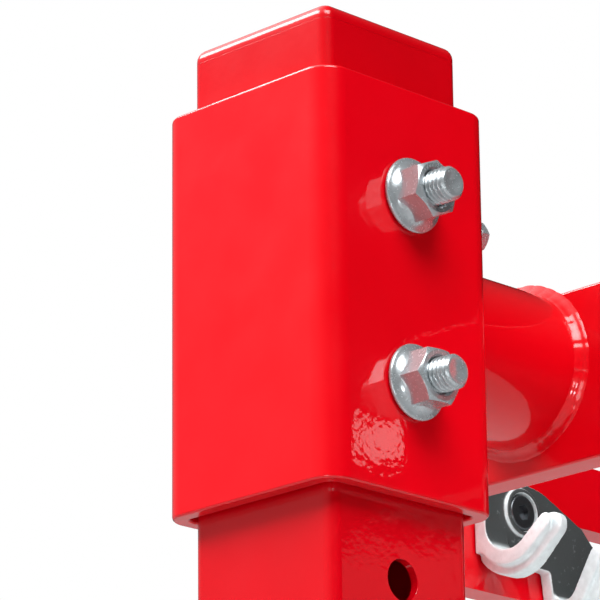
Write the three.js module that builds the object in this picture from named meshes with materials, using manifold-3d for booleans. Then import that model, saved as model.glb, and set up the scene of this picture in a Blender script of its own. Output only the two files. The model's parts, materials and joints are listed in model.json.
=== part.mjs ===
// Bolted clamp head of a square mast.  A square sleeve is bolted round a perforated
// square post; a welded stub tube carries a cross bar with two arms, and a stepped
// cast claw swivels on the inner side of each arm.
//
// Millimetres.  The origin is the middle of the post's lower end, +Z is up the post,
// +X points from the sleeve's back face towards the arms, and the clamp nuts face -Y.

import * as THREE from 'three';
import { mergeVertices } from 'three/addons/utils/BufferGeometryUtils.js';
import Module from 'manifold-3d';

const wasm = await Module();
wasm.setup();

// ---------------------------------------------------------------- driving dimensions

const GAP = 0.3;              // clearance kept between faces that touch on the real object

const POST_SIDE = 65;
const POST_WALL = 3;
const POST_CORNER = 4.5;
const POST_LENGTH = 356.7;
const HOLE_PITCH = 65;
const HOLE_COUNT = 5;
const HOLE_RADIUS = 7;
const TOP_HOLE_DEPTH = 64.2;   // from the post's top down to its highest hole
const CAP_THICKNESS = 5.2;
const CAP_ROUNDING = 4.3;

const SLEEVE_SIDE = 80;
const SLEEVE_WALL = 6;
const SLEEVE_CORNER = 9.4;
const SLEEVE_HEIGHT = 142;
const SLEEVE_TOP = 331;
const SLEEVE_BEVEL = 1.2;

const BOLT_RADIUS = 6;        // M12 flange bolts and nuts
const BOLT_LENGTH = 100;
const BOLT_OFFSET_X = -0.7;
const BOLT_HOLE_RADIUS = 6.6;
const BOLT_HEX = 18;
const BOLT_HEAD_HEIGHT = 12;
const BOLT_HEAD_TURN = 12;
const BOLT_CHAMFER = 1.2;
const FLANGE_RADIUS = 13;
const FLANGE_EDGE = 1.8;
const FLANGE_CONE_HEIGHT = 4.2;
const NUT_HEIGHT = 12;
const NUT_TURNS = [23, 1.5];  // degrees each nut's corners stand from +X, upper then lower

const SCREW_RADIUS = 3;       // M6 hexagon set screw through the sleeve's back wall
const SCREW_LENGTH = 40;
const SCREW_HEX = 10;
const SCREW_HEAD = 4;
const SCREW_NUT = 5;
const SCREW_CHAMFER = 0.8;
const SCREW_TURN = 30;
const WELD_NUT_TURN = 0;
const LOCK_NUT_TURN = 17;
const THREAD_GAP = 0.1;       // between a moving thread or bore and its partner
const SCREW_Z = SLEEVE_TOP - 25;

const TUBE_RADIUS = 28.5;
const TUBE_WALL = 4;
const TUBE_Z = SLEEVE_TOP - SLEEVE_HEIGHT / 2;
const RING_LEG = 3.5;         // fillet welds round the stub tube
const STRIP_LEG = 5;          // fillet welds where the arms meet the cross bar
const STRIP_MARGIN = 6;
const WELD_HOLLOW = 0.82;

const BAR_FRONT = 97;
const BAR_THICKNESS = 12;
const BAR_HALF_LENGTH = 140;
const BAR_TOP = SLEEVE_TOP - 45.5;
const BAR_BOTTOM = SLEEVE_TOP - 108.5;
const BAR_CORNER = 3;
const BAR_BEVEL = 1;

const ARM_INNER = 124.3;      // the arm's inner face, from the middle plane
const ARM_THICKNESS = 12;
const ARM_TIP_X = 330;
const ARM_TIP_HALF = 13.4;
// The step in the arm's underside, as distances along it from the pivot: where the deep
// part ends, the rising edge between, and where the slender part starts.
const ARM_STEP = {
  deepEnd: 12,
  deepCorner: 21,
  riseStart: 24,
  riseEnd: 32,
  slenderCorner: 35,
  slenderStart: 44,
};
const ARM_STEP_BLEND = [8, 7];  // heights of the lower and the upper rounding of that edge

const PIVOT_X = 227.5;
const PIVOT_Z = SLEEVE_TOP - 75;
const PIVOT_RADIUS = 5;
const PIVOT_HEAD_RADIUS = 7.1;
const PIVOT_HEAD_HEIGHT = 3.3;
const PIVOT_HEAD_EDGE = 0.6;
const PIVOT_CHAMFER = 1;
const SOCKET_HEX = 6;
const SOCKET_TURN = 15;
const SOCKET_FLOOR = 1;
const PIVOT_WASHER = 2;
const PIVOT_WASHER_RADIUS = 10;
const PIVOT_NUT = 9;
const PIVOT_NUT_HEX = 16;
const PIVOT_NUT_TURN = 8;
const PIVOT_END = 3;          // thread standing out of the nut

const WEB = 6;                // thickness of the claw's side plate
const BOSS_RADIUS = 10.5;
const BOSS_HEIGHT = 2;
const RECESS_RADIUS = 7.6;
const RECESS_DEPTH = 4;

// The claw's three troughs, from the heel outwards: where each starts along the arm, how
// deep its floor and its lip lie below the pivot, its floor radius and its lip's slope.
const SCOOPS = [
  { start: -21, length: 12, floor: -20.3, lip: -10, radius: 11.5, slope: 38 },
  { start: 19, length: 12, floor: -33, lip: -15.8, radius: 5.4, slope: 58 },
  { start: 57, length: 12, floor: -45.5, lip: -28.3, radius: 5.4, slope: 58 },
];
const SCOOP_FACE = 3;         // the thinner rim at each trough's near end
const SCOOP_RIM = 6.2;
const SCOOP_BODY = 10;
const SCOOP_ROOT = 4;         // how far a trough's wall runs up the side plate past its lip
const SCOOP_TAPER = 0.13;     // how much shorter a trough gets for each millimetre inwards
const CAST_EDGE = 0.8;
const SKIRT_LAP = 2;          // how far the side plate stops inside each trough's outer wall
const STEP_SLANT = 3;
// The side plate's upper edge from the nose back to the heel, from the pivot.
const CREST = [[44, -6.6], [37, 0], [15, 10.2]];
const HEEL_TOP = 12.2;

const ROUND = 28;             // facets of a turned piece
const BORE_PAST = 1;          // how far a cutting tool reaches past the faces it opens

// ---------------------------------------------------------------- finishes

const redGloss = { color: 0xe00a18, roughness: 0.22, metalness: 0 };
const redPost = { color: 0xd80c1a, roughness: 0.32, metalness: 0 };
const zincPlate = { color: 0xb9b6b2, roughness: 0.3, metalness: 1 };
const castZinc = { color: 0xa9a8a6, roughness: 0.42, metalness: 1 };

// ---------------------------------------------------------------- solids

function welded(geometry) {
  const plain = geometry.clone();
  plain.deleteAttribute('normal');
  plain.deleteAttribute('uv');
  return mergeVertices(plain, 1e-4);
}

function toSolid(geometry) {
  const merged = welded(geometry);
  return new wasm.Manifold(new wasm.Mesh({
    numProp: 3,
    vertProperties: Float32Array.from(merged.attributes.position.array),
    triVerts: Uint32Array.from(merged.index.array),
  }));
}

function toGeometry(solid) {
  const mesh = solid.getMesh();
  const geometry = new THREE.BufferGeometry();
  geometry.setAttribute('position', new THREE.Float32BufferAttribute(mesh.vertProperties, 3));
  geometry.setIndex(Array.from(mesh.triVerts));
  geometry.computeVertexNormals();
  return geometry;
}

function cut(geometry, tools) {
  return toGeometry(tools.reduce((solid, tool) => solid.subtract(toSolid(tool)), toSolid(geometry)));
}

function join(geometries) {
  return toGeometry(geometries.map(toSolid).reduce((all, solid) => all.add(solid)));
}

// The mirror image across the middle plane, with its triangles turned to face out again.
function mirrorY(geometry) {
  const mirrored = welded(geometry).scale(1, -1, 1);
  const index = mirrored.index.array;
  for (let i = 0; i < index.length; i += 3) {
    [index[i + 1], index[i + 2]] = [index[i + 2], index[i + 1]];
  }
  mirrored.computeVertexNormals();
  return mirrored;
}

function roundedSquare(side, radius, Type = THREE.Shape) {
  const half = side / 2 - radius;
  const shape = new Type();
  [[half, half], [-half, half], [-half, -half], [half, -half]].forEach(([x, y], corner) => {
    shape.absarc(x, y, radius, corner * Math.PI / 2, (corner + 1) * Math.PI / 2, false);
  });
  shape.closePath();
  return shape;
}

function hexagon(acrossFlats, turnDegrees) {
  const radius = acrossFlats / Math.sqrt(3);
  const turn = THREE.MathUtils.degToRad(turnDegrees);
  const corners = [0, 1, 2, 3, 4, 5].map((k) => {
    const angle = turn + k * Math.PI / 3;
    return new THREE.Vector2(radius * Math.cos(angle), radius * Math.sin(angle));
  });
  return new THREE.Shape(corners);
}

// An extrusion from z = 0 to z = depth, its end edges bevelled inside the outline.
function extrude(shape, depth, bevel = 0, bevelSegments = 1) {
  const geometry = new THREE.ExtrudeGeometry(shape, {
    depth: depth - 2 * bevel,
    bevelEnabled: bevel > 0,
    bevelThickness: bevel,
    bevelSize: bevel,
    bevelOffset: -bevel,
    bevelSegments,
    curveSegments: 3,
  });
  return geometry.translate(0, 0, bevel);
}

// A turned solid about the Z axis from its half profile of [radius, z] points.
function turned(profile, segments = ROUND) {
  const points = profile.map(([radius, z]) => new THREE.Vector2(radius, z));
  return new THREE.LatheGeometry(points, segments).rotateX(Math.PI / 2);
}

function rodAlongY(radius, x, z, length) {
  return new THREE.CylinderGeometry(radius, radius, length, ROUND).translate(x, 0, z);
}

function rodAlongX(radius, x, z, length) {
  return new THREE.CylinderGeometry(radius, radius, length, ROUND)
    .rotateZ(Math.PI / 2).translate(x, 0, z);
}

const group = new THREE.Group();

function add(name, geometry, finish, position = [0, 0, 0], rotation = [0, 0, 0]) {
  const mesh = new THREE.Mesh(geometry, new THREE.MeshStandardMaterial(finish));
  mesh.name = name;
  mesh.position.set(...position);
  mesh.rotation.set(...rotation);
  group.add(mesh);
}

const TOWARDS_FRONT = [Math.PI / 2, 0, 0];   // local +Z turns to -Y
const TOWARDS_BACK = [-Math.PI / 2, 0, 0];   // local +Z turns to +Y
const TOWARDS_POST = [0, -Math.PI / 2, 0];   // local +Z turns to -X
const TOWARDS_ARMS = [0, Math.PI / 2, 0];    // local +Z turns to +X

// ---------------------------------------------------------------- post and sleeve

const topHole = POST_LENGTH - TOP_HOLE_DEPTH;
const boltHeights = [topHole, topHole - HOLE_PITCH];

function post() {
  const shape = roundedSquare(POST_SIDE, POST_CORNER);
  shape.holes.push(roundedSquare(POST_SIDE - 2 * POST_WALL, POST_CORNER - POST_WALL, THREE.Path));
  const holes = [];
  for (let k = 0; k < HOLE_COUNT; k += 1) {
    holes.push(rodAlongY(HOLE_RADIUS, 0, topHole - k * HOLE_PITCH, 2 * POST_SIDE));
  }
  return cut(extrude(shape, POST_LENGTH - CAP_THICKNESS - GAP), holes);
}

// A lid as wide as the post, standing on z = 0, its upper edges rounded.
function postCap() {
  const shape = roundedSquare(POST_SIDE, POST_CORNER);
  const pillow = extrude(shape, 2 * CAP_THICKNESS, CAP_ROUNDING, 3).translate(0, 0, -CAP_THICKNESS);
  return toGeometry(toSolid(pillow).trimByPlane([0, 0, 1], 0));
}

function sleeve() {
  const shape = roundedSquare(SLEEVE_SIDE, SLEEVE_CORNER);
  const inner = SLEEVE_SIDE - 2 * SLEEVE_WALL;
  shape.holes.push(roundedSquare(inner, SLEEVE_CORNER - SLEEVE_WALL, THREE.Path));
  const body = extrude(shape, SLEEVE_HEIGHT, SLEEVE_BEVEL)
    .translate(0, 0, SLEEVE_TOP - SLEEVE_HEIGHT);
  const holes = boltHeights.map((z) => (
    rodAlongY(BOLT_HOLE_RADIUS, BOLT_OFFSET_X, z, 2 * SLEEVE_SIDE)));
  holes.push(rodAlongX(SCREW_RADIUS + GAP, SLEEVE_SIDE / 2, SCREW_Z, 2 * SLEEVE_WALL));
  return cut(body, holes);
}

// ---------------------------------------------------------------- fasteners

// A hexagon with the corners of its outer end turned away, standing on z = 0.
function hexBlock(acrossFlats, height, turn) {
  const corner = acrossFlats / Math.sqrt(3);
  const crown = 0.95 * acrossFlats / 2;
  const drop = (corner - crown) * Math.tan(Math.PI / 6);
  const blank = turned([[0, 0], [corner + GAP, 0], [corner + GAP, height - drop],
    [crown, height], [0, height]]);
  return toGeometry(toSolid(extrude(hexagon(acrossFlats, turn), height)).intersect(toSolid(blank)));
}

function flangeDisc() {
  const neck = BOLT_HEX / 2;
  return turned([[0, 0], [FLANGE_RADIUS, 0], [FLANGE_RADIUS, FLANGE_EDGE],
    [neck, FLANGE_CONE_HEIGHT], [0, FLANGE_CONE_HEIGHT]]);
}

// A cutter for a hole of the given radius right through a piece standing on z = 0.
function borer(radius, height) {
  return turned([[0, -BORE_PAST], [radius, -BORE_PAST], [radius, height + BORE_PAST],
    [0, height + BORE_PAST]]);
}

// A shank hanging from just above z = 0, with a chamfered end.
function shank(radius, length, chamfer) {
  return turned([[0, -length], [radius - chamfer, -length], [radius, -length + chamfer],
    [radius, 1], [0, 1]]);
}

function flangeNut(turn) {
  const blank = join([flangeDisc(), hexBlock(BOLT_HEX, NUT_HEIGHT, turn)]);
  return cut(blank, [borer(BOLT_RADIUS + GAP, NUT_HEIGHT)]);
}

// Head above z = 0, shank below it.
function flangeBolt() {
  const head = hexBlock(BOLT_HEX, BOLT_HEAD_HEIGHT, BOLT_HEAD_TURN);
  return join([flangeDisc(), head, shank(BOLT_RADIUS, BOLT_LENGTH, BOLT_CHAMFER)]);
}

function setScrew() {
  const head = hexBlock(SCREW_HEX, SCREW_HEAD, SCREW_TURN);
  return join([head, shank(SCREW_RADIUS, SCREW_LENGTH, SCREW_CHAMFER)]);
}

function hexNut(acrossFlats, height, boreRadius, turn) {
  return cut(hexBlock(acrossFlats, height, turn), [borer(boreRadius, height)]);
}

function washer(outer, inner, thickness) {
  return turned([[inner, 0], [outer, 0], [outer, thickness], [inner, thickness], [inner, 0]]);
}

// Head with its hexagon socket above z = 0, shank below it.
function pivotBolt(length) {
  const head = turned([[0, 0], [PIVOT_HEAD_RADIUS, 0],
    [PIVOT_HEAD_RADIUS, PIVOT_HEAD_HEIGHT - PIVOT_HEAD_EDGE],
    [PIVOT_HEAD_RADIUS - PIVOT_HEAD_EDGE, PIVOT_HEAD_HEIGHT], [0, PIVOT_HEAD_HEIGHT]]);
  const socket = extrude(hexagon(SOCKET_HEX, SOCKET_TURN), PIVOT_HEAD_HEIGHT)
    .translate(0, 0, SOCKET_FLOOR);
  return cut(join([head, shank(PIVOT_RADIUS, length, PIVOT_CHAMFER)]), [socket]);
}

// ---------------------------------------------------------------- welded frame

function stubTube(length) {
  const inner = TUBE_RADIUS - TUBE_WALL;
  return turned([[inner, 0], [TUBE_RADIUS, 0], [TUBE_RADIUS, length], [inner, length], [inner, 0]]);
}

// A fillet weld round the stub tube, its flat leg on z = 0.
function weldRing() {
  const inner = TUBE_RADIUS + GAP;
  const hollow = WELD_HOLLOW * RING_LEG;
  const profile = [[inner, 0], [inner + RING_LEG, 0]];
  for (let k = 1; k < 4; k += 1) {
    const angle = k * Math.PI / 8;
    profile.push([inner + hollow * Math.cos(angle), hollow * Math.sin(angle)]);
  }
  profile.push([inner, RING_LEG], [inner, 0]);
  return turned(profile);
}

// A straight fillet weld of the given length up the Z axis, its legs along +X and +Y.
function weldStrip(length) {
  const bulge = 0.55 * STRIP_LEG;
  const shape = new THREE.Shape();
  shape.moveTo(0, 0);
  shape.lineTo(STRIP_LEG, 0);
  shape.quadraticCurveTo(bulge, bulge, 0, STRIP_LEG);
  shape.closePath();
  return extrude(shape, length);
}

function crossbar() {
  const halfLength = BAR_HALF_LENGTH - BAR_CORNER;
  const halfHeight = (BAR_TOP - BAR_BOTTOM) / 2 - BAR_CORNER;
  const shape = new THREE.Shape();
  [[1, 1], [-1, 1], [-1, -1], [1, -1]].forEach(([x, y], corner) => {
    shape.absarc(x * halfHeight, y * halfLength, BAR_CORNER, corner * Math.PI / 2,
      (corner + 1) * Math.PI / 2, false);
  });
  shape.closePath();
  return extrude(shape, BAR_THICKNESS, BAR_BEVEL).rotateY(Math.PI / 2);
}

// The arm's outline in the X-Z plane: as deep as the cross bar as far as the claw's pivot,
// then a slender arm with a round tip and a spare pivot hole.
function arm() {
  const root = BAR_FRONT + BAR_THICKNESS + GAP;
  const tipZ = BAR_TOP - ARM_TIP_HALF;
  const slenderBottom = BAR_TOP - 2 * ARM_TIP_HALF;
  const shape = new THREE.Shape();
  shape.moveTo(root, BAR_TOP);
  shape.lineTo(root, BAR_BOTTOM);
  const at = (distance) => PIVOT_X + distance;
  const [lowerBlend, upperBlend] = ARM_STEP_BLEND;
  shape.lineTo(at(ARM_STEP.deepEnd), BAR_BOTTOM);
  shape.quadraticCurveTo(at(ARM_STEP.deepCorner), BAR_BOTTOM,
    at(ARM_STEP.riseStart), BAR_BOTTOM + lowerBlend);
  shape.lineTo(at(ARM_STEP.riseEnd), slenderBottom - upperBlend);
  shape.quadraticCurveTo(at(ARM_STEP.slenderCorner), slenderBottom,
    at(ARM_STEP.slenderStart), slenderBottom);
  shape.absarc(ARM_TIP_X - ARM_TIP_HALF, tipZ, ARM_TIP_HALF, -Math.PI / 2, Math.PI / 2, false);
  shape.closePath();
  const plate = extrude(shape, ARM_THICKNESS, BAR_BEVEL).rotateX(Math.PI / 2)
    .translate(0, ARM_INNER + ARM_THICKNESS, 0);
  const middle = ARM_INNER + ARM_THICKNESS / 2;
  const holes = [[PIVOT_X, PIVOT_Z], [ARM_TIP_X - ARM_TIP_HALF, tipZ]].map(([x, z]) => (
    rodAlongY(PIVOT_RADIUS + GAP, x, z, 2 * ARM_THICKNESS).translate(0, middle, 0)));
  return cut(plate, holes);
}

// ---------------------------------------------------------------- claws

// A trough's section.  x runs inwards from the claw's side plate and y is the height from
// the pivot; the wall is `thick` wide, but never reaches through the back of the plate.
function scoopShape({ floor, lip, radius, slope }, thick) {
  const tilt = THREE.MathUtils.degToRad(slope);
  const middle = floor + radius;
  const outer = radius + thick;
  const along = (lip - (middle - radius * Math.cos(tilt))) / Math.sin(tilt);
  const end = [
    radius + radius * Math.sin(tilt) + along * Math.cos(tilt) + 0.5 * thick * Math.sin(tilt),
    lip - 0.5 * thick * Math.cos(tilt),
  ];
  const shape = new THREE.Shape();
  const top = lip + SCOOP_ROOT;
  const lipAngle = 1.5 * Math.PI + tilt;
  const backAngle = Math.PI + Math.acos((radius + WEB) / outer);
  shape.moveTo(-WEB, top);
  shape.absarc(radius, middle, outer, backAngle, lipAngle, false);
  shape.absarc(end[0], end[1], thick / 2, lipAngle, lipAngle + Math.PI, false);
  shape.absarc(radius, middle, radius, lipAngle, Math.PI, true);
  shape.lineTo(0, top);
  shape.closePath();
  return shape;
}

// A trough of that section: the section's x turns to -Y and its y to +Z.  Its far end
// tapers, so the trough is shortest at its lip.
function placedScoop(scoop, thick, start, length) {
  const matrix = new THREE.Matrix4().makeBasis(
    new THREE.Vector3(0, -1, 0),
    new THREE.Vector3(0, 0, 1),
    new THREE.Vector3(-1, 0, 0),
  );
  const geometry = extrude(scoopShape(scoop, thick), length, CAST_EDGE).applyMatrix4(matrix);
  geometry.translate(start + length, 0, 0);
  const points = geometry.attributes.position;
  for (let i = 0; i < points.count; i += 1) {
    const inwards = -points.getY(i);
    if (points.getX(i) > start + length / 2 && inwards > 0) {
      points.setX(i, points.getX(i) - SCOOP_TAPER * inwards);
    }
  }
  return geometry;
}

// Height of the side plate's lower edge at a trough, just inside the trough's outer wall.
function skirt({ floor, radius }) {
  const drop = Math.sqrt((radius + SCOOP_BODY) ** 2 - (radius + WEB) ** 2);
  return floor + radius - drop + SKIRT_LAP;
}

function clawWeb() {
  const [heel, middle, nose] = SCOOPS;
  const end = nose.start + nose.length;
  const shape = new THREE.Shape();
  shape.moveTo(heel.start, skirt(heel));
  [[heel, middle], [middle, nose]].forEach(([scoop, next]) => {
    const finish = scoop.start + scoop.length;
    shape.lineTo(finish, skirt(scoop));
    shape.lineTo(finish + STEP_SLANT, scoop.floor);
    shape.lineTo(next.start - 2, scoop.floor - 1);
    shape.lineTo(next.start, skirt(next));
  });
  shape.lineTo(end, skirt(nose));
  shape.lineTo(end, nose.lip);
  shape.quadraticCurveTo(end, nose.lip + 6, end - 6, nose.lip + 7.5);
  CREST.forEach(([x, y]) => shape.lineTo(x, y));
  shape.quadraticCurveTo(8, HEEL_TOP + 0.4, 0, HEEL_TOP);
  shape.lineTo(heel.start + 8, HEEL_TOP - 2.2);
  shape.quadraticCurveTo(heel.start, HEEL_TOP - 3.2, heel.start, 0);
  shape.closePath();
  return extrude(shape, WEB, CAST_EDGE).rotateX(Math.PI / 2).translate(0, WEB, 0);
}

function claw() {
  const boss = rodAlongY(BOSS_RADIUS, 0, 0, 2 * BOSS_HEIGHT);
  const parts = [clawWeb(), boss];
  SCOOPS.forEach((scoop) => {
    const { start, length } = scoop;
    parts.push(placedScoop(scoop, SCOOP_RIM, start, 2 * SCOOP_FACE));
    parts.push(placedScoop(scoop, SCOOP_BODY, start + SCOOP_FACE, length - SCOOP_FACE));
  });
  const bore = rodAlongY(PIVOT_RADIUS + THREAD_GAP, 0, 0, 4 * WEB);
  const recess = rodAlongY(RECESS_RADIUS, 0, 0, 2 * RECESS_DEPTH)
    .translate(0, -BOSS_HEIGHT, 0);
  return cut(join(parts), [bore, recess]);
}

// ---------------------------------------------------------------- assembly

add('post_tube', post(), redPost);
add('post_cap', postCap(), redPost, [0, 0, POST_LENGTH - CAP_THICKNESS]);
add('clamp_sleeve', sleeve(), redGloss);

const halfSleeve = SLEEVE_SIDE / 2 + GAP;
['upper', 'lower'].forEach((place, k) => {
  const z = boltHeights[k];
  const nut = flangeNut(NUT_TURNS[k]);
  add(`clamp_bolt_${place}`, flangeBolt(), zincPlate, [BOLT_OFFSET_X, halfSleeve, z], TOWARDS_BACK);
  add(`clamp_nut_${place}`, nut, zincPlate, [BOLT_OFFSET_X, -halfSleeve, z], TOWARDS_FRONT);
});

const screwHeadX = POST_SIDE / 2 + GAP + SCREW_LENGTH;
const lockNutX = halfSleeve + SCREW_NUT + GAP;
const weldNut = hexNut(SCREW_HEX, SCREW_NUT, SCREW_RADIUS + THREAD_GAP, WELD_NUT_TURN);
const lockNut = hexNut(SCREW_HEX, SCREW_NUT, SCREW_RADIUS + THREAD_GAP, LOCK_NUT_TURN);
add('set_screw', setScrew(), zincPlate, [screwHeadX, 0, SCREW_Z], TOWARDS_ARMS);
add('set_screw_weld_nut', weldNut, redGloss, [halfSleeve, 0, SCREW_Z], TOWARDS_ARMS);
add('set_screw_lock_nut', lockNut, zincPlate, [lockNutX, 0, SCREW_Z], TOWARDS_ARMS);

const tubeEnd = BAR_FRONT - GAP;
add('stub_tube', stubTube(tubeEnd - halfSleeve), redGloss, [halfSleeve, 0, TUBE_Z], TOWARDS_ARMS);
add('weld_sleeve_ring', weldRing(), redGloss, [halfSleeve, 0, TUBE_Z], TOWARDS_ARMS);
add('weld_crossbar_ring', weldRing(), redGloss, [tubeEnd, 0, TUBE_Z], TOWARDS_POST);
add('crossbar', crossbar(), redGloss, [BAR_FRONT, 0, (BAR_TOP + BAR_BOTTOM) / 2]);

const armGeometry = arm();
const clawGeometry = claw();
const innerStrip = mirrorY(weldStrip(BAR_TOP - BAR_BOTTOM - 2 * STRIP_MARGIN));
const outerStrip = mirrorY(innerStrip);
const clawFace = ARM_INNER - GAP - WEB;
const boltHeadY = clawFace + RECESS_DEPTH - BOSS_HEIGHT - GAP;
const armOuter = ARM_INNER + ARM_THICKNESS + GAP;
const nutY = armOuter + PIVOT_WASHER + GAP;
const pivotLength = nutY + PIVOT_NUT + PIVOT_END - boltHeadY;
const stripX = BAR_FRONT + BAR_THICKNESS + GAP;
const stripZ = BAR_BOTTOM + STRIP_MARGIN;

[['left', 1], ['right', -1]].forEach(([side, sign]) => {
  const sided = (geometry) => (sign > 0 ? geometry : mirrorY(geometry));
  const inward = sign > 0 ? TOWARDS_FRONT : TOWARDS_BACK;
  const outward = sign > 0 ? TOWARDS_BACK : TOWARDS_FRONT;
  const atPivot = (y) => [PIVOT_X, sign * y, PIVOT_Z];
  const washerDisc = washer(PIVOT_WASHER_RADIUS, PIVOT_RADIUS + GAP, PIVOT_WASHER);
  const pivotNut = hexNut(PIVOT_NUT_HEX, PIVOT_NUT, PIVOT_RADIUS + GAP, PIVOT_NUT_TURN);
  add(`arm_${side}`, sided(armGeometry), redGloss);
  add(`claw_${side}`, sided(clawGeometry), castZinc, atPivot(clawFace));
  add(`pivot_bolt_${side}`, pivotBolt(pivotLength), zincPlate, atPivot(boltHeadY), inward);
  add(`pivot_washer_${side}`, washerDisc, zincPlate, atPivot(armOuter), outward);
  add(`pivot_nut_${side}`, pivotNut, zincPlate, atPivot(nutY), outward);
  const innerPlace = [stripX, sign * (ARM_INNER - GAP), stripZ];
  const outerPlace = [stripX, sign * armOuter, stripZ];
  add(`weld_${side}_inner`, sided(innerStrip), redGloss, innerPlace);
  add(`weld_${side}_outer`, sided(outerStrip), redGloss, outerPlace);
});

export default group;
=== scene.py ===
# Looks of the bolted post clamp head: paint, zinc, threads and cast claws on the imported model.
import json
import math

import bmesh
import bpy
from mathutils import Matrix, Vector

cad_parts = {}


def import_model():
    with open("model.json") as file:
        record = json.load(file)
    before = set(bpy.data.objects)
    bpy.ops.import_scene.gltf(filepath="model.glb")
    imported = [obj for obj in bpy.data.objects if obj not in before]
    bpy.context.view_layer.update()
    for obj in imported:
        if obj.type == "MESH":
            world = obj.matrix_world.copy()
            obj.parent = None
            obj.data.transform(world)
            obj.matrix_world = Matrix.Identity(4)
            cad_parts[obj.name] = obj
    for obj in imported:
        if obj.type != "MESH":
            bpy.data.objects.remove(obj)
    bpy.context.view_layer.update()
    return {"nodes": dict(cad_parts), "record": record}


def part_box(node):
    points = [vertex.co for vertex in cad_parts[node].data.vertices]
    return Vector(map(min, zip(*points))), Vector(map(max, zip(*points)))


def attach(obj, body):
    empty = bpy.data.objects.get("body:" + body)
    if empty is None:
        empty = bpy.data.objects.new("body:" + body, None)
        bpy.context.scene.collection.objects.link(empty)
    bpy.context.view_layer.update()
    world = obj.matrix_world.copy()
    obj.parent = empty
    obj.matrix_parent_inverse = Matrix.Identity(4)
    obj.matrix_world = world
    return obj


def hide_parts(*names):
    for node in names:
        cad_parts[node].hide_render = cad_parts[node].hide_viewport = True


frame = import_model()
NODES = frame["nodes"]
MM = 0.001

SIDES = (("left", 1), ("right", -1))               # the arms, towards +Y and -Y
SLEEVE_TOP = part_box("clamp_sleeve")[1].z
WEB = 6.0                                          # the claws' side plate, mm
CLAW_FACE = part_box("claw_left")[1].y - WEB * MM    # its inner face, from the middle plane


# ---------------------------------------------------------------- shader helpers

class Nodes:
    """Short calls that add nodes to a tree; an argument may be a value or another node's output."""

    def __init__(self, tree):
        self.tree = tree
        self.texture = tree.nodes.new("ShaderNodeTexCoord")
        self.coords = self.texture.outputs["Object"]

    def link(self, source, target):
        self.tree.links.new(source, target)

    def feed(self, socket, value):
        if isinstance(value, bpy.types.NodeSocket):
            self.link(value, socket)
        else:
            socket.default_value = value

    def node(self, kind, inputs=None, **settings):
        made = self.tree.nodes.new(kind)
        for key, value in settings.items():
            setattr(made, key, value)
        for key, value in (inputs or {}).items():
            self.feed(made.inputs[key], value)
        return made

    def noise(self, scale, detail=2.0, roughness=0.5):
        inputs = {"Vector": self.coords, "Scale": scale, "Detail": detail, "Roughness": roughness}
        return self.node("ShaderNodeTexNoise", inputs).outputs["Fac"]

    def ramp(self, factor, low, high, to_low=0.0, to_high=1.0):
        inputs = {"Value": factor, "From Min": low, "From Max": high, "To Min": to_low, "To Max": to_high}
        return self.node("ShaderNodeMapRange", inputs).outputs["Result"]

    def mix(self, factor, first, second):
        made = self.node("ShaderNodeMix", data_type="RGBA")
        for socket, value in zip((made.inputs[0], made.inputs[6], made.inputs[7]), (factor, first, second)):
            self.feed(socket, value)
        return made.outputs[2]

    def math(self, operation, first, second=0.0):
        made = self.node("ShaderNodeMath", operation=operation)
        for socket, value in zip(made.inputs, (first, second)):
            self.feed(socket, value)
        return made.outputs[0]

    def axis(self, vector, name):
        return self.node("ShaderNodeSeparateXYZ", {"Vector": vector}).outputs[name]

    def bump(self, layers):
        """Bump from (height, distance in metres, strength) layers, one on the other."""
        normal = None
        for height, distance, strength in layers:
            inputs = {"Height": height, "Distance": distance, "Strength": strength}
            made = self.node("ShaderNodeBump", inputs)
            if normal is not None:
                self.link(normal, made.inputs["Normal"])
            normal = made.outputs["Normal"]
        return normal


class Shader(Nodes):
    """A new material built on the Principled shader."""

    def __init__(self, name, **inputs):
        self.material = bpy.data.materials.new(name)
        self.material.use_nodes = True
        super().__init__(self.material.node_tree)
        self.bsdf = self.tree.nodes["Principled BSDF"]
        for key, value in inputs.items():
            self.bsdf.inputs[key.replace("_", " ")].default_value = value


def rgb(red, green, blue):
    """Linear colour from 0-255 sRGB values."""
    def linear(value):
        value /= 255
        return value / 12.92 if value <= 0.04045 else ((value + 0.055) / 1.055) ** 2.4
    return (linear(red), linear(green), linear(blue), 1.0)


def dimmed(colour, share):
    return tuple(share * channel for channel in colour[:3]) + (1.0,)


# ---------------------------------------------------------------- finishes, and painted shade on the claws' webs

WEB_SHADE_SHARE = 0.08       # of the zinc's colour, kept by the flats under painted shade how far inside the web's face the painted shade fades in, and is complete, with this much unevenness
WEB_SHADE_BEGINS = 4.5 * MM  # how far inside the web's face they fade in,
WEB_SHADE_WHOLE = 3 * MM     # and are complete,
WEB_SHADE_WAVER = 0.6 * MM   # with this much unevenness


def red_enamel(name, base, deep, peel):
    """Glossy red paint under a clear coat: slow colour drift, haze, orange peel and fine dust."""
    s = Shader(name, Roughness=0.34, Coat_Weight=1.0, Coat_Roughness=0.03, Coat_IOR=1.42)
    s.bsdf.inputs["Specular IOR Level"].default_value = 0.08
    drift = s.ramp(s.noise(9.0, 3.0), 0.35, 0.65)
    s.link(s.mix(drift, base, deep), s.bsdf.inputs["Base Color"])
    haze = s.ramp(s.noise(55.0, 4.0), 0.3, 0.75, 0.28, 0.42)
    s.link(haze, s.bsdf.inputs["Roughness"])
    peel_fine = s.noise(420.0, 1.5)
    peel_wide = s.noise(90.0, 2.0)
    dust = s.ramp(s.noise(1500.0, 0.0), 0.78, 0.84)
    normal = s.bump([
        (peel_wide, 0.0003 * peel, 0.22),
        (peel_fine, 0.00006 * peel, 0.4),
        (dust, 0.00003, 0.4),
    ])
    s.link(normal, s.bsdf.inputs["Normal"])
    s.link(normal, s.bsdf.inputs["Coat Normal"])
    return s.material


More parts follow.
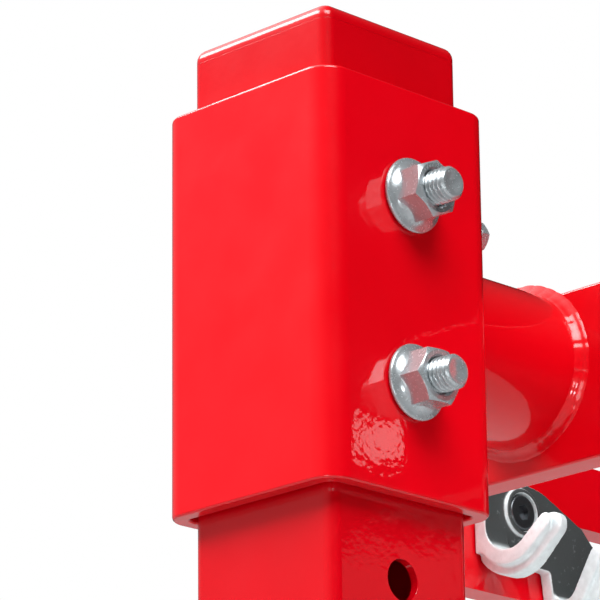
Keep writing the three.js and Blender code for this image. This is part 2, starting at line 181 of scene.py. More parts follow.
def zinc_plate(name, base, metal, roughness, bumps, web=None):
    """Satin zinc with cloudy passivation and scuffs; given a web's face (its |y|), flats at or beyond it
    get painted shade.
    """
    s = Shader(name, Metallic=metal)
    s.bsdf.inputs["Specular IOR Level"].default_value = 0.5
    cloud = s.ramp(s.noise(260.0, 4.0, 0.6), 0.35, 0.7)
    tone = s.mix(cloud, base, dimmed(base, 0.86))
    if web:
        side = s.math("ABSOLUTE", s.axis(s.coords, "Y"))
        waver = s.ramp(s.noise(180.0, 3.0), 0.3, 0.7, -WEB_SHADE_WAVER, WEB_SHADE_WAVER)
        uneven = s.math("ADD", side, waver)
        facing = s.math("ABSOLUTE", s.axis(s.texture.outputs["Normal"], "Y"))
        at_web = s.ramp(uneven, web - WEB_SHADE_BEGINS, web - WEB_SHADE_WHOLE)
        web_shade = s.math("MULTIPLY", s.ramp(facing, 0.55, 0.85), at_web)
        # painted shade: the web's flats, which lie in shadow under the cross bar and behind the sleeve, are
        # darkened to a small share of the colour
        tone = s.mix(web_shade, tone, dimmed(base, WEB_SHADE_SHARE))
    scuff = s.ramp(s.noise(420.0, 4.0, 0.6), 0.62, 0.75, 0.0, 0.3)
    s.link(s.mix(scuff, tone, dimmed(base, 0.62)), s.bsdf.inputs["Base Color"])
    fine = s.noise(1100.0, 2.0, 0.5)
    s.link(s.ramp(fine, 0.3, 0.7, roughness * 0.85, roughness * 1.2), s.bsdf.inputs["Roughness"])
    normal = s.bump([(s.noise(330.0, 2.0), 0.0001, bumps), (fine, 0.00001, bumps)])
    s.link(normal, s.bsdf.inputs["Normal"])
    return s.material


RED = red_enamel("red_enamel", rgb(224, 0, 20), rgb(214, 0, 15), 1.0)
POST_RED = red_enamel("post_red_enamel", rgb(208, 0, 18), rgb(193, 0, 12), 1.5)
ZINC = zinc_plate("zinc_plate", rgb(186, 194, 198), 0.62, 0.24, 0.06)
PIVOT_ZINC = zinc_plate("pivot_zinc", rgb(104, 108, 112), 0.9, 0.34, 0.3)
# the claws' cast zinc, with painted shade on the flats of their side plates
CAST_WITH_WEB_SHADE = zinc_plate("cast_zinc", rgb(236, 248, 250), 0.2, 0.4, 0.5, CLAW_FACE)

BY_SLOT = {"red_paint": RED, "post_paint": POST_RED, "zinc_plate": ZINC, "cast_zinc": CAST_WITH_WEB_SHADE}

for node, obj in NODES.items():
    slot = next(p["material_slot"] for p in frame["record"]["subparts"] if p["node"] == node)
    obj.data.materials.clear()
    obj.data.materials.append(BY_SLOT[slot])


# ---------------------------------------------------------------- mesh tools

FRONT = Matrix.Rotation(math.pi / 2, 4, "X")      # local +Z turns to -Y, local Y to +Z
BACK = Matrix.Rotation(-math.pi / 2, 4, "X")      # local +Z turns to +Y
ARMS = Matrix.Rotation(math.pi / 2, 4, "Y")       # local +Z turns to +X
POSTWARD = Matrix.Rotation(-math.pi / 2, 4, "Y")  # local +Z turns to -X
MIRROR = Matrix.Scale(-1, 4, (0, 1, 0))


def added(name, data):
    """A new object in the scene."""
    made = bpy.data.objects.new(name, data)
    bpy.context.scene.collection.objects.link(made)
    return made


def mesh_object(name, vertices, faces):
    """A new object from closed shells, its faces turned outwards."""
    mesh = bpy.data.meshes.new(name)
    mesh.from_pydata(vertices, [], faces)
    solid = bmesh.new()
    solid.from_mesh(mesh)
    if solid.calc_volume(signed=True) < 0:
        mesh.flip_normals()
    solid.free()
    return added(name, mesh)


def placed(obj, matrix):
    """Moves the mesh itself; a mirroring matrix also turns the faces back out."""
    obj.data.transform(matrix)
    if matrix.determinant() < 0:
        obj.data.flip_normals()
    return obj


def applied(obj):
    """Replaces the mesh by the result of its modifiers."""
    graph = bpy.context.evaluated_depsgraph_get()
    result = bpy.data.meshes.new_from_object(obj.evaluated_get(graph))
    obj.modifiers.clear()
    obj.data = result
    return obj


def boolean(obj, tool, operation="DIFFERENCE"):
    made = obj.modifiers.new("boolean", "BOOLEAN")
    made.operation = operation
    made.solver = "EXACT"
    made.object = tool
    applied(obj)
    bpy.data.objects.remove(tool)
    return obj


def soften(obj, width, angle=30, segments=3):
    """Rounds every edge sharper than the angle, and shades the flats flat and the rounds round."""
    made = obj.modifiers.new("bevel", "BEVEL")
    made.width = width
    made.segments = segments
    made.limit_method = "ANGLE"
    made.angle_limit = math.radians(angle)
    made.harden_normals = False
    made.use_clamp_overlap = True
    applied(obj)
    return shaded(obj, angle)


def shaded(obj, angle):
    obj.data.shade_smooth()
    obj.data.set_sharp_from_angle(angle=math.radians(angle))
    made = obj.modifiers.new("weighted", "WEIGHTED_NORMAL")
    made.keep_sharp = True
    made.weight = 80
    return applied(obj)


def joined(name, *objs):
    """One object from several closed shells."""
    mesh = bmesh.new()
    for obj in objs:
        mesh.from_mesh(obj.data)
        bpy.data.objects.remove(obj)
    data = bpy.data.meshes.new(name)
    mesh.to_mesh(data)
    mesh.free()
    return added(name, data)


def prism(name, outline, depth):
    """A closed extrusion of an anticlockwise outline from z = 0 to z = depth."""
    count = len(outline)
    vertices = [(x, y, z) for z in (0, depth) for x, y in outline]
    faces = [tuple(reversed(range(count))), tuple(range(count, 2 * count))]
    faces += [(k, (k + 1) % count, count + (k + 1) % count, count + k) for k in range(count)]
    return mesh_object(name, vertices, faces)


def circle(radius, z, steps):
    angles = [2 * math.pi * k / steps for k in range(steps)]
    return [(radius * math.cos(angle), radius * math.sin(angle), z) for angle in angles]


def add_ring(rings, vertices, points):
    """Adds points to the vertices and a ring of their numbers to the rings."""
    rings.append(list(range(len(vertices), len(vertices) + len(points))))
    vertices.extend(points)


def add_tip(rings, vertices, z, steps):
    """Adds one point on the axis, as a ring that has shrunk to it."""
    rings.append([len(vertices)] * steps)
    vertices.append((0, 0, z))


def turned(name, profile, steps):
    """A closed solid of revolution about Z from (radius, z) points that start and end on the axis."""
    rings, vertices = [], []
    for radius, z in profile:
        if radius:
            add_ring(rings, vertices, circle(radius, z, steps))
        else:
            add_tip(rings, vertices, z, steps)
    return mesh_object(name, vertices, ring_faces(rings))


def ring_faces(rings):
    """Faces between each ring of vertices and the next, leaving out repeated corners."""
    faces = []
    for first, second in zip(rings, rings[1:]):
        count = len(first)
        for k in range(count):
            face = [first[k], first[(k + 1) % count], second[(k + 1) % count], second[k]]
            face = [v for i, v in enumerate(face) if v not in face[:i]]
            if len(face) > 2:
                faces.append(tuple(face))
    return faces


def arc(centre, radius, start, stop, steps):
    """Points on an arc, angles in degrees."""
    made = []
    for k in range(steps + 1):
        angle = math.radians(start + (stop - start) * k / steps)
        made.append((centre[0] + radius * math.cos(angle), centre[1] + radius * math.sin(angle)))
    return made


def curve(start, control, stop, steps=10):
    """Points on a quadratic curve after its start."""
    made = []
    for k in range(1, steps + 1):
        t = k / steps
        weights = ((1 - t) ** 2, 2 * t * (1 - t), t * t)
        points = (start, control, stop)
        made.append(tuple(sum(w * p[i] for w, p in zip(weights, points)) for i in (0, 1)))
    return made


def rounded_rectangle(width, height, radius, steps):
    half_x, half_y = width / 2 - radius, height / 2 - radius
    outline = []
    for k, (x, y) in enumerate(((1, 1), (-1, 1), (-1, -1), (1, -1))):
        outline += arc((x * half_x, y * half_y), radius, 90 * k, 90 * k + 90, steps)
    return outline


def rod(radius, length, steps=64):
    return turned("rod", [(0, 0), (radius, 0), (radius, length), (0, length)], steps)


def keep(obj, name, material, body, slot, *nodes):
    """Names the finished piece, paints it and puts it in its nodes' place on their body."""
    obj.name = name
    obj.data.materials.clear()
    obj.data.materials.append(material)
    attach(obj, body)
    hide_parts(*nodes)
    return obj


def middle_of(node):
    low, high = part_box(node)
    return (low + high) / 2


def moved(x, y, z):
    return Matrix.Translation((x, y, z))


def hexagon(across_flats, turn):
    corner = across_flats / math.sqrt(3)
    angles = [math.radians(turn + 60 * k) for k in range(6)]
    return [(corner * math.cos(angle), corner * math.sin(angle)) for angle in angles]


# ---------------------------------------------------------------- square tubes

def square_tube(name, low, high, radius, wall, rim, holes):
    """A square tube with round corners and softened rims, drilled by (x, z, radius, direction) holes.

    A hole towards the front goes through both walls, one towards the arms through that wall alone.
    """
    side, height = high.x - low.x, high.z - low.z
    bore = side - 2 * wall
    body = prism(name, rounded_rectangle(side, side, radius, 14), height)
    inner = prism("bore", rounded_rectangle(bore, bore, radius - wall, 8), height + 2 * wall)
    boolean(body, placed(inner, moved(0, 0, -wall)))
    placed(body, moved((low.x + high.x) / 2, (low.y + high.y) / 2, low.z))
    for x, z, hole_radius, turn in holes:
        begin = -side if turn is FRONT else 0
        drill = rod(hole_radius, 2 * side, 48)
        boolean(body, placed(drill, moved(x, 0, z) @ turn @ moved(0, 0, begin)))
    return soften(body, rim, 28, 3)


POST_CORNER = 4.5 * MM
POST_WALL = 3 * MM
SLEEVE_CORNER = 9.4 * MM
SLEEVE_WALL = 6 * MM
HOLE_PITCH = 65 * MM
HOLE_COUNT = 5
HOLE_RADIUS = 7 * MM
CAP_ROUNDING = 4.3 * MM
SEAM = 0.3 * MM               # the lid reaches down across the gap above the tube
THREAD_RADIUS = 6 * MM
BOLT_CLEARANCE = 0.6 * MM
SCREW_HOLE = 3.3 * MM


def pillow_top(side, radius, rounding, height):
    """A lid standing on z = 0: full width below, its upper edges rounded over."""
    steps = 6
    loops = [(0.0, side, radius)]
    for k in range(steps + 1):
        angle = math.radians(90 * k / steps)
        inset = rounding * (1 - math.cos(angle))
        level = height - rounding + rounding * math.sin(angle)
        loops.append((level, side - 2 * inset, max(radius - inset, 0.6 * MM)))
    rings, vertices = [], []
    for z, width, corner in loops:
        add_ring(rings, vertices, [(x, y, z) for x, y in rounded_rectangle(width, width, corner, 14)])
    faces = [tuple(reversed(rings[0]))] + ring_faces(rings) + [tuple(rings[-1])]
    return shaded(mesh_object("lid", vertices, faces), 60)


def make_post():
    """The perforated post and its lid, painted over as one piece."""
    low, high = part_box("post_tube")
    top_hole = middle_of("clamp_nut_upper").z
    holes = [(0, top_hole - k * HOLE_PITCH, HOLE_RADIUS, FRONT) for k in range(HOLE_COUNT)]
    tube = square_tube("post", low, high, POST_CORNER, POST_WALL, 0.45 * MM, holes)
    low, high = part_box("post_cap")
    lid = pillow_top(high.x - low.x, POST_CORNER, CAP_ROUNDING, high.z - low.z + SEAM)
    placed(lid, moved((low.x + high.x) / 2, (low.y + high.y) / 2, low.z - SEAM))
    post = joined("post", tube, lid)
    keep(post, "post_shell", POST_RED, "clamp_head", "post_paint", "post_tube", "post_cap")


def make_sleeve():
    low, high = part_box("clamp_sleeve")
    nuts = [middle_of(f"clamp_nut_{place}") for place in ("upper", "lower")]
    holes = [(nut.x, nut.z, THREAD_RADIUS + BOLT_CLEARANCE, FRONT) for nut in nuts]
    holes.append((0, middle_of("set_screw").z, SCREW_HOLE, ARMS))
    made = square_tube("sleeve", low, high, SLEEVE_CORNER, SLEEVE_WALL, 1.3 * MM, holes)
    keep(made, "sleeve_shell", RED, "clamp_head", "red_paint", "clamp_sleeve")


# ---------------------------------------------------------------- fasteners

BOLT_HEX = 18 * MM
BOLT_LENGTH = 100 * MM
BOLT_HEAD = 12 * MM
BOLT_HEAD_TURN = 12
NUT_TURNS = {"upper": 23, "lower": 1.5}
NUT_BORE = 6.1 * MM
NUT_MOUTH = 7.2 * MM
NUT_SEAT_MOUTH = 7 * MM
FLANGE_RADIUS = 13 * MM
FLANGE_EDGE = 1.8 * MM
FLANGE_HEIGHT = 4.4 * MM
BOLT_PITCH = 1.75 * MM
BOLT_THREAD = 32 * MM
BOLT_SHANK = 70 * MM          # runs a little into the head and the thread
SHANK_RADIUS = 5.9 * MM
SCREW_HEX = 10 * MM
SCREW_HEAD = 4 * MM
SCREW_RADIUS = 3 * MM
SCREW_PITCH = 1.0 * MM
DOWN = Matrix.Rotation(math.pi, 4, "X")             # local +Z turns to -Z
THREAD_DEPTH = 0.6            # in pitches
THREAD_FLAT = 0.125           # width of the flats at crest and root, in pitches


def hex_block(across_flats, height, turn):
    """A hexagon along Z, its top corners turned away by a 30 degree cone."""
    block = prism("hexagon", hexagon(across_flats, turn), height)
    wide = 1.02 * across_flats / math.sqrt(3)
    flat = 0.475 * across_flats
    drop = (wide - flat) * math.tan(math.radians(30))
    profile = [(0, -MM), (wide, -MM), (wide, height - drop), (flat, height), (0, height)]
    return boolean(block, turned("cone", profile, 96), "INTERSECT")


def thread_run(radius, length, pitch):
    """A helical thread round Z, closed at both ends, its far end chamfered and slightly dished."""
    around, per_pitch = 40, 14
    along = int(length / pitch * per_pitch)
    rim = radius - 1.15 * THREAD_DEPTH * pitch
    rings, vertices = [], []
    add_tip(rings, vertices, 0, around)
    for j in range(along + 1):
        z = length * j / along
        points = []
        for k in range(around):
            turn = k / around
            phase = (z / pitch - turn) % 1.0
            rise = (abs(phase - 0.5) * 2 - THREAD_FLAT) / (1 - 2 * THREAD_FLAT)
            cut = THREAD_DEPTH * pitch * min(1.0, max(0.0, rise))
            r = min(radius - cut, rim + 0.9 * (length - z))
            points.append((r * math.cos(2 * math.pi * turn), r * math.sin(2 * math.pi * turn), z))
        add_ring(rings, vertices, points)
    for share, sink in ((0.82, 0.0), (0.7, 0.04), (0.35, 0.1)):
        add_ring(rings, vertices, circle(share * rim, length - sink * radius, around))
    add_tip(rings, vertices, length - 0.12 * radius, around)
    return shaded(mesh_object("thread", vertices, ring_faces(rings)), 50)


def flange_profile(radius, neck, edge, height):
    """The flange's outline: a rounded rim, then a slightly hollow cone up to the neck."""
    rim = arc((radius - edge / 2, edge / 2), edge / 2, -90, 60, 6)
    cone = curve(rim[-1], ((radius + neck) / 2 - 0.6 * MM, edge * 1.25), (neck, height), 6)
    return [(0, 0)] + rim + cone + [(0, height)]


def flange_body(across_flats, height, turn):
    """A flange with a hexagon on it, which starts inside the flange so that the two fuse."""
    profile = flange_profile(FLANGE_RADIUS, across_flats / 2, FLANGE_EDGE, FLANGE_HEIGHT)
    start = 0.5 * MM
    block = placed(hex_block(across_flats, height - start, turn), moved(0, 0, start))
    return boolean(turned("flange", profile, 96), block, "UNION")


def nut_bore(height):
    """What a flange nut's bore cuts away, widened towards both faces."""
    profile = [(0, -MM), (NUT_SEAT_MOUTH, -MM), (NUT_BORE, MM), (NUT_BORE, height - 0.9 * MM)]
    profile += [(NUT_MOUTH, height + 0.1 * MM), (NUT_MOUTH, height + MM), (0, height + MM)]
    return turned("sink", profile, 64)


def make_clamp_fasteners():
    for place, turn in NUT_TURNS.items():
        low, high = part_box(f"clamp_nut_{place}")
        centre = middle_of(f"clamp_nut_{place}")
        height = high.y - low.y
        nut = flange_body(BOLT_HEX, height, turn)
        soften(boolean(nut, nut_bore(height)), 0.28 * MM, 24, 2)
        placed(nut, moved(centre.x, high.y, centre.z) @ FRONT)
        keep(nut, f"flange_nut_{place}", ZINC, "clamp_head", "zinc_plate", f"clamp_nut_{place}")

        head = soften(flange_body(BOLT_HEX, BOLT_HEAD, BOLT_HEAD_TURN), 0.3 * MM, 24, 2)
        shank = soften(rod(SHANK_RADIUS, BOLT_SHANK), 0.2 * MM)
        placed(shank, moved(0, 0, 0.5 * MM - BOLT_SHANK))
        thread = thread_run(THREAD_RADIUS - 0.05 * MM, BOLT_THREAD, BOLT_PITCH)
        placed(thread, DOWN @ moved(0, 0, BOLT_LENGTH - BOLT_THREAD))
        under_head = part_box(f"clamp_bolt_{place}")[1].y - BOLT_HEAD
        bolt = joined("bolt", head, shank, thread)
        placed(bolt, moved(centre.x, under_head, centre.z) @ BACK)
        keep(bolt, f"flange_bolt_{place}", ZINC, "clamp_head", "zinc_plate", f"clamp_bolt_{place}")


def plain_nut(across_flats, height, bore, turn):
    profile = [(0, -MM), (bore + 0.5 * MM, -MM), (bore, 0.6 * MM), (bore, height - 0.6 * MM)]
    profile += [(bore + 0.6 * MM, height), (bore + 0.6 * MM, height + MM), (0, height + MM)]
    block = hex_block(across_flats, height, turn)
    return soften(boolean(block, turned("hole", profile, 48)), 0.2 * MM, 24, 2)


def make_set_screw():
    low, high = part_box("set_screw")
    z = middle_of("set_screw").z
    block = soften(hex_block(SCREW_HEX, SCREW_HEAD, 30), 0.35 * MM, 24, 3)
    thread = placed(thread_run(SCREW_RADIUS, high.x - low.x - SCREW_HEAD, SCREW_PITCH), DOWN)
    screw = placed(joined("screw", block, thread), moved(high.x - SCREW_HEAD, 0, z) @ ARMS)
    keep(screw, "set_screw_detail", ZINC, "set_screw", "zinc_plate", "set_screw")
    nuts = (("set_screw_weld_nut", 0, "red_paint"), ("set_screw_lock_nut", 17, "zinc_plate"))
    for node, turn, slot in nuts:
        low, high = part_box(node)
        nut = plain_nut(SCREW_HEX, high.x - low.x, SCREW_RADIUS + 0.1 * MM, turn)
        placed(nut, moved(low.x, 0, z) @ ARMS)
        keep(nut, f"{node}_detail", BY_SLOT[slot], "clamp_head", slot, node)


PIVOT_RADIUS = 5 * MM
PIVOT_HEAD_RADIUS = 7.1 * MM
PIVOT_HEAD = 3.3 * MM
PIVOT_EDGE = 0.9 * MM
PIVOT_PITCH = 1.5 * MM
PIVOT_PLAIN = 18 * MM         # from under the head to the thread, which the shank runs into
PIVOT_NUT_HEX = 16 * MM
PIVOT_HOLE = 5.3 * MM
WASHER_RADIUS = 10 * MM
SOCKET_HEX = 3.4 * MM * math.sqrt(3)


def washer(thick):
    bore = placed(rod(PIVOT_HOLE, 3 * thick, 48), moved(0, 0, -thick))
    return soften(boolean(rod(WASHER_RADIUS, thick, 72), bore), 0.25 * MM)


def pivot_bolt(total):
    """A socket head above z = 0, its shank and thread below."""
    rim = arc((PIVOT_HEAD_RADIUS - PIVOT_EDGE, PIVOT_HEAD - PIVOT_EDGE), PIVOT_EDGE, 0, 90, 5)
    cap = turned("cap", [(0, 0), (PIVOT_HEAD_RADIUS, 0)] + rim + [(0, PIVOT_HEAD)], 72)
    socket = placed(prism("socket", hexagon(SOCKET_HEX, 15), 5 * MM), moved(0, 0, 0.9 * MM))
    soften(boolean(cap, socket), 0.2 * MM, 30, 2)
    shank = placed(soften(rod(PIVOT_RADIUS, 20 * MM), 0.2 * MM), moved(0, 0, -19.9 * MM))
    thread = thread_run(PIVOT_RADIUS, total - PIVOT_HEAD - PIVOT_PLAIN, PIVOT_PITCH)
    placed(thread, moved(0, 0, -PIVOT_PLAIN) @ DOWN)
    return joined("bolt", cap, shank, thread)


def make_pivot(side, sign):
    """The claw's pivot: a socket head bolt in the boss, and a washer and nut behind the arm."""
    inward, outward = (FRONT, BACK) if sign > 0 else (BACK, FRONT)
    centre = middle_of(f"pivot_bolt_{side}")
    low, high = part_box(f"pivot_bolt_{side}")
    head_y = (low.y if sign > 0 else high.y) + sign * PIVOT_HEAD
    bolt = placed(pivot_bolt(high.y - low.y), moved(centre.x, head_y, centre.z) @ inward)
    keep(bolt, f"pivot_bolt_{side}_detail", PIVOT_ZINC, "clamp_head", "zinc_plate", f"pivot_bolt_{side}")

    for kind in ("washer", "nut"):
        node = f"pivot_{kind}_{side}"
        low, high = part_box(node)
        thick = high.y - low.y
        piece = washer(thick) if kind == "washer" else plain_nut(PIVOT_NUT_HEX, thick, 5.2 * MM, 8)
        placed(piece, moved(centre.x, low.y if sign > 0 else high.y, centre.z) @ outward)
        keep(piece, f"{node}_detail", ZINC, "clamp_head", "zinc_plate", node)


# ---------------------------------------------------------------- welded frame

STUB_WALL = 4 * MM
BAR_CORNER = 2.5 * MM
ARM_TIP = 13.4 * MM           # radius of an arm's end, and half the height of its slender part
WELD_SEAT = 0.35 * MM         # a weld ring runs into both parts it joins
WELD_CURVE = 8                # points along the hollow face of a bead's section
PER_POOL = 8                  # sections in each pool of a bead


def make_stub_tube():
    low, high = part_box("stub_tube")
    radius = (high.y - low.y) / 2
    body = rod(radius, high.x - low.x, 128)
    bore = placed(rod(radius - STUB_WALL, 2 * (high.x - low.x)), moved(0, 0, -5 * MM))
    soften(boolean(body, bore), 0.4 * MM)
    centre = middle_of("stub_tube")
    placed(body, moved(low.x, centre.y, centre.z) @ ARMS)
    keep(body, "stub_tube_shell", RED, "clamp_head", "red_paint", "stub_tube")


def bead_height(where, seed):
    """The ripple of a hand-laid weld under thick paint: overlapping pools with uneven size."""
    pool = where + 0.35 * math.sin(where * 0.37 + seed)
    return 0.88 + 0.09 * math.sqrt(1 - (2 * (pool % 1.0) - 1) ** 2) + 0.03 * math.sin(where * 1.7 + seed)


def fillet(reach):
    """A slightly hollow fillet from one leg's end to the other's, without its first point."""
    hollow = 0.30 * reach
    return curve((reach, 0.0), (hollow, hollow), (0.0, reach), WELD_CURVE)


def weld_ring(node, turn, seed):
    low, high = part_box(node)
    outer = (high.y - low.y) / 2
    leg = high.x - low.x
    inner = outer - leg
    pools = 34
    around = pools * PER_POOL
    rings, vertices = [], []
    for k in range(around):
        angle = 2 * math.pi * k / around
        reach = leg * bead_height(pools * k / around, seed)
        profile = [(-WELD_SEAT, -WELD_SEAT), (reach, -WELD_SEAT)] + fillet(reach)
        profile[-1] = (-WELD_SEAT, reach)
        section = [((inner + r) * math.cos(angle), (inner + r) * math.sin(angle), z) for r, z in profile]
        add_ring(rings, vertices, section)
    faces = []
    for first, second in zip(rings, rings[1:] + rings[:1]):
        faces += zip(first, second, second[1:] + second[:1], first[1:] + first[:1])
    made = shaded(mesh_object(node, vertices, faces), 70)
    centre = middle_of(node)
    placed(made, moved(low.x if turn is ARMS else high.x, centre.y, centre.z) @ turn)
    keep(made, f"{node}_bead", RED, "clamp_head", "red_paint", node)


def weld_strip(node, sign, seed):
    """A straight fillet weld up Z in its node's box; sign says to which side its leg reaches."""
    low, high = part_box(node)
    leg, length = high.x - low.x, high.z - low.z
    pools = 12
    steps = pools * PER_POOL
    rings, vertices = [], []
    for k in range(steps + 1):
        ends = min(1.0, 0.4 + 0.25 * min(k, steps - k))
        reach = leg * (bead_height(pools * k / steps, seed) * ends)
        profile = [(0.0, 0.0), (reach, 0.0)] + fillet(reach)
        add_ring(rings, vertices, [(x, y, length * k / steps) for x, y in profile])
    faces = [tuple(reversed(rings[0])), tuple(rings[-1])] + ring_faces(rings)
    made = shaded(mesh_object(node, vertices, faces), 70)
    if sign < 0:
        placed(made, MIRROR)
    placed(made, moved(low.x, low.y if sign > 0 else high.y, low.z))
    keep(made, f"{node}_bead", RED, "clamp_head", "red_paint", node)


def make_crossbar():
    low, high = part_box("crossbar")
    size = high - low
    body = prism("bar", rounded_rectangle(size.z, size.y, BAR_CORNER, 6), size.x)
    soften(body, 1.1 * MM, 40, 4)
    centre = middle_of("crossbar")
    placed(body, moved(low.x, centre.y, centre.z) @ ARMS)
    keep(body, "crossbar_plate", RED, "clamp_head", "red_paint", "crossbar")


def make_arm(side):
    low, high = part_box(f"arm_{side}")
    pivot = middle_of(f"pivot_bolt_{side}")
    end = (high.x - ARM_TIP, high.z - ARM_TIP)
    slender = high.z - 2 * ARM_TIP

    def at(dx, z):
        return (pivot.x + dx * MM, z)

    outline = [(low.x, high.z), (low.x, low.z), at(12, low.z)]
    outline += curve(outline[-1], at(21, low.z), at(24, low.z + 8 * MM))
    outline.append(at(32, slender - 7 * MM))
    outline += curve(outline[-1], at(35, slender), at(44, slender))
    outline += arc(end, ARM_TIP, -90, 90, 28)
    body = prism("arm", outline, high.y - low.y)
    for x, z in ((pivot.x, pivot.z), end):
        boolean(body, placed(rod(PIVOT_HOLE, 40 * MM, 48), moved(x, z, -10 * MM)))
    soften(body, 0.9 * MM, 30, 4)
    placed(body, moved(0, high.y, 0) @ FRONT)
    keep(body, f"arm_{side}_plate", RED, "clamp_head", "red_paint", f"arm_{side}")


# ---------------------------------------------------------------- claws

# Each trough along the arm: start, length, floor, lip, floor radius (mm) and lip slope (degrees).
SCOOPS = (
    (-21, 12, -20.3, -10, 11.5, 38),
    (19, 12, -33, -15.8, 5.4, 58),
    (57, 12, -45.5, -28.3, 5.4, 58),
)
TAPER = 0.13       # how much shorter a trough gets for each millimetre inwards
SCOOP_FACE = 3     # length of the thinner rim at each trough's near end, mm
SCOOP_RIM = 6.2    # thickness of that rim,
SCOOP_BODY = 10    # and of the trough's wall behind it
SCOOP_ROOT = 4     # how far above its lip a trough joins the side plate
SKIRT_LAP = 2      # how far the side plate's edge stays inside a trough's outer wall


def scoop_outline(floor, lip, radius, slope, thick):
    """A trough's section, x inwards from the side plate and y up from the pivot, in mm."""
    tilt = math.radians(slope)
    middle = floor + radius
    outer = radius + thick
    along = (lip - (middle - radius * math.cos(tilt))) / math.sin(tilt)
    end = (radius + radius * math.sin(tilt) + along * math.cos(tilt) + 0.5 * thick * math.sin(tilt),
           lip - 0.5 * thick * math.cos(tilt))
    begin = 180 + math.degrees(math.acos(min(1.0, (radius + WEB) / outer)))
    outline = [(-WEB, lip + SCOOP_ROOT)]
    outline += arc((radius, middle), outer, begin, 270 + slope, 30)
    outline += arc(end, thick / 2, 270 + slope, 450 + slope, 14)
    outline += arc((radius, middle), radius, 270 + slope, 180, 30)
    outline.append((0, lip + SCOOP_ROOT))
    return outline


def scoop_shell(start, length, outline):
    """The section run along the arm, shorter towards its lip."""
    steps = 8
    count = len(outline)
    vertices = []
    for k in range(steps + 1):
        t = k / steps
        for x, y in outline:
            along = start + length * t - TAPER * max(0.0, x) * t
            vertices.append((along * MM, -x * MM, y * MM))
    rings = [list(range(j * count, (j + 1) * count)) for j in range(steps + 1)]
    faces = [tuple(rings[0]), tuple(reversed(rings[-1]))]
    faces += [tuple(reversed(face)) for face in ring_faces(rings)]
    return mesh_object("scoop", vertices, faces)


def skirt(scoop):
    """Height of the side plate's lower edge at a trough, just inside the trough's outer wall."""
    floor, radius = scoop[2], scoop[4]
    drop = math.sqrt((radius + SCOOP_BODY) ** 2 - (radius + WEB) ** 2)
    return floor + radius - drop + SKIRT_LAP


def claw_web():
    outline = [(SCOOPS[0][0], skirt(SCOOPS[0]))]
    for scoop, following in zip(SCOOPS, SCOOPS[1:]):
        finish, floor = scoop[0] + scoop[1], scoop[2]
        outline += [(finish, skirt(scoop)), (finish + 3, floor), (following[0] - 2, floor - 1),
                    (following[0], skirt(following))]
    heel = SCOOPS[0][0]
    end, nose_lip = SCOOPS[-1][0] + SCOOPS[-1][1], SCOOPS[-1][3]
    outline += [(end, skirt(SCOOPS[-1])), (end, nose_lip)]
    outline += curve(outline[-1], (end, nose_lip + 6), (end - 6, nose_lip + 7.5))
    outline += [(44, -6.6), (37, 0), (15, 10.2)]
    outline += curve(outline[-1], (8, 12.6), (0, 12.2))
    outline.append((heel + 8, 10))
    outline += curve(outline[-1], (heel, 9), (heel, 0))
    web = prism("web", [(x * MM, y * MM) for x, y in outline], WEB * MM)
    return placed(web, moved(0, WEB * MM, 0) @ FRONT)


def claw_blank():
    """The casting: its shells are fused by a fine voxel remesh and smoothed, which rounds every corner."""
    parts = [claw_web()]
    for start, length, floor, lip, radius, slope in SCOOPS:
        rim = scoop_outline(floor, lip, radius, slope, SCOOP_RIM)
        body = scoop_outline(floor, lip, radius, slope, SCOOP_BODY)
        parts.append(scoop_shell(start, 2 * SCOOP_FACE, rim))
        parts.append(scoop_shell(start + SCOOP_FACE, length - SCOOP_FACE, body))
    boss = turned("boss", [(0, -2 * MM), (10.5 * MM, -2 * MM), (9.7 * MM, 2 * MM), (0, 2 * MM)], 96)
    parts.append(placed(boss, FRONT))
    blank = joined("claw", *parts)
    fuse = blank.modifiers.new("fuse", "REMESH")
    fuse.mode = "VOXEL"
    fuse.voxel_size = 0.55 * MM
    applied(blank)
    rounding = blank.modifiers.new("rounding", "SMOOTH")
    rounding.factor = 0.5
    rounding.iterations = 9
    applied(blank)
    profile = [(0, -20 * MM), (5.1 * MM, -20 * MM), (5.1 * MM, -2 * MM), (7.6 * MM, -2 * MM)]
    profile += [(7.6 * MM, 1.2 * MM), (8.2 * MM, 2.3 * MM), (8.2 * MM, 9 * MM), (0, 9 * MM)]
    boolean(blank, placed(turned("recess", profile, 96), FRONT))
    return shaded(blank, 40)


def make_claws():
    blank = claw_blank()
    for side, sign in SIDES:
        pivot = middle_of(f"pivot_bolt_{side}")
        made = added(f"claw_{side}_cast", blank.data.copy())
        if sign < 0:
            placed(made, MIRROR)
        placed(made, moved(pivot.x, sign * CLAW_FACE, pivot.z))
        keep(made, f"claw_{side}_casting", CAST_WITH_WEB_SHADE, f"claw_{side}", "cast_zinc", f"claw_{side}")
    bpy.data.objects.remove(blank)


make_post()
make_sleeve()
make_clamp_fasteners()
make_set_screw()
make_stub_tube()
weld_ring("weld_sleeve_ring", ARMS, 0.4)
weld_ring("weld_crossbar_ring", POSTWARD, 2.1)
make_crossbar()
make_claws()
for number, (side, sign) in enumerate(SIDES):
    make_arm(side)
    make_pivot(side, sign)
    weld_strip(f"weld_{side}_inner", -sign, number + 0.3)
    weld_strip(f"weld_{side}_outer", sign, number + 1.9)


# ---------------------------------------------------------------- stage

PALE_SIDE = (-0.70, 0.68, 0.20)


def camera():
    """The photograph's view: from below and to the side, at the top of the post."""
    data = bpy.data.cameras.new("camera")
    data.lens = 233.0
    data.sensor_width = 36.0
    data.clip_end = 50.0
    made = added("camera", data)
    right = Vector((0.70901, -0.70513, -0.01003))
    up = Vector((-0.21269, -0.22737, 0.95030))
    look = Vector((0.67236, 0.67163, 0.31118))
    place = Vector((-0.89019, -0.87591, -0.47388 + SLEEVE_TOP))
    made.matrix_world = Matrix((
        (right.x, up.x, -look.x, place.x),
        (right.y, up.y, -look.y, place.y),
        (right.z, up.z, -look.z, place.z),
        (0, 0, 0, 1),
    ))
    bpy.context.scene.camera = made


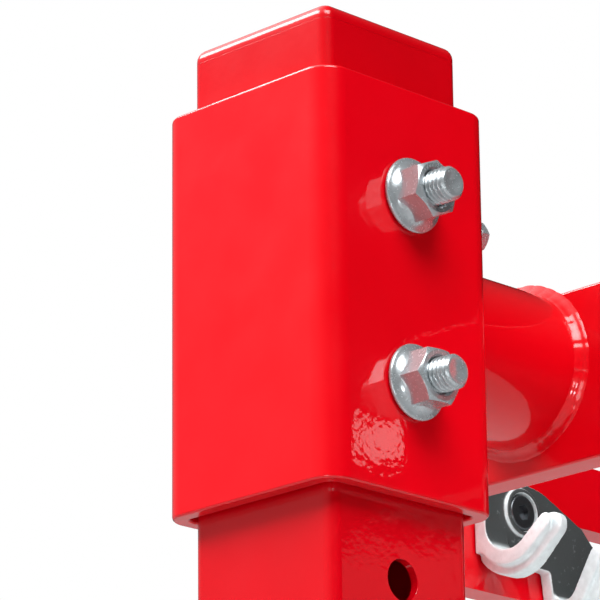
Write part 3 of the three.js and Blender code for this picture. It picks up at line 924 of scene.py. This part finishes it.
def area(name, place, target, size, power, spread=70):
    data = bpy.data.lights.new(name, "AREA")
    data.shape = "RECTANGLE"
    data.size, data.size_y = size
    data.energy = power
    data.spread = math.radians(spread)
    made = added(name, data)
    made.location = place
    made.rotation_euler = (Vector(target) - Vector(place)).to_track_quat("-Z", "Y").to_euler()


def world():
    """White to the camera; to the object a pale studio on one side, falling off to a dark one."""
    made = bpy.data.worlds.new("surround")
    bpy.context.scene.world = made
    made.use_nodes = True
    made.node_tree.nodes.clear()
    w = Nodes(made.node_tree)
    towards = w.texture.outputs["Generated"]
    side = w.node("ShaderNodeVectorMath", {0: towards, 1: PALE_SIDE}, operation="DOT_PRODUCT")
    fall = w.ramp(side.outputs["Value"], 0.0, 0.75, 0.01, 0.34)
    dome = w.ramp(w.axis(towards, "Z"), 0.45, 0.75, 1.0, 7.0)
    white = (1, 1, 1, 1)
    lit = w.node("ShaderNodeBackground", {"Color": white, "Strength": w.math("MULTIPLY", fall, dome)})
    seen = w.node("ShaderNodeBackground", {"Color": white, "Strength": 1.0})
    by_ray = w.node("ShaderNodeLightPath").outputs["Is Camera Ray"]
    mixed = w.node("ShaderNodeMixShader", {0: by_ray, 1: lit.outputs[0], 2: seen.outputs[0]})
    w.node("ShaderNodeOutputWorld", {"Surface": mixed.outputs[0]})


def floor():
    mesh = bpy.data.meshes.new("floor")
    half = 6.0
    level = -0.5
    corners = [(x * half, y * half, level) for x, y in ((-1, -1), (1, -1), (1, 1), (-1, 1))]
    mesh.from_pydata(corners, [], [(0, 1, 2, 3)])
    made = added("floor", mesh)
    s = Shader("floor", Roughness=0.7)
    drift = s.ramp(s.noise(3.0, 3.0), 0.3, 0.7)
    s.link(s.mix(drift, (0.76, 0.76, 0.76, 1), (0.80, 0.80, 0.80, 1)), s.bsdf.inputs["Base Color"])
    mesh.materials.append(s.material)


camera()
world()
floor()
middle = (0.05, 0.0, 0.26)
area("key", (-0.85, 0.75, 1.40), middle, (1.3, 0.5), 5.6)
area("front_fill", (-0.5, -1.1, 1.50), middle, (1.3, 0.9), 5.6, spread=60)
area("low_fill", (-1.26, -0.67, -0.05), middle, (0.5, 0.4), 0.4)
area("claw_fill", (-0.66, -1.15, -0.26), (0.206, 0.08, 0.235), (0.25, 0.25), 0.04, spread=14)
area("upper_card", (0.563, -0.549, 0.426), (0.0, -0.04, 0.19), (0.10, 0.02), 0.018, spread=180)
area("lower_card", (0.536, -0.576, 0.325), (0.0, -0.04, 0.13), (0.13, 0.09), 0.010, spread=180)
bpy.context.scene.view_settings.view_transform = "Standard"
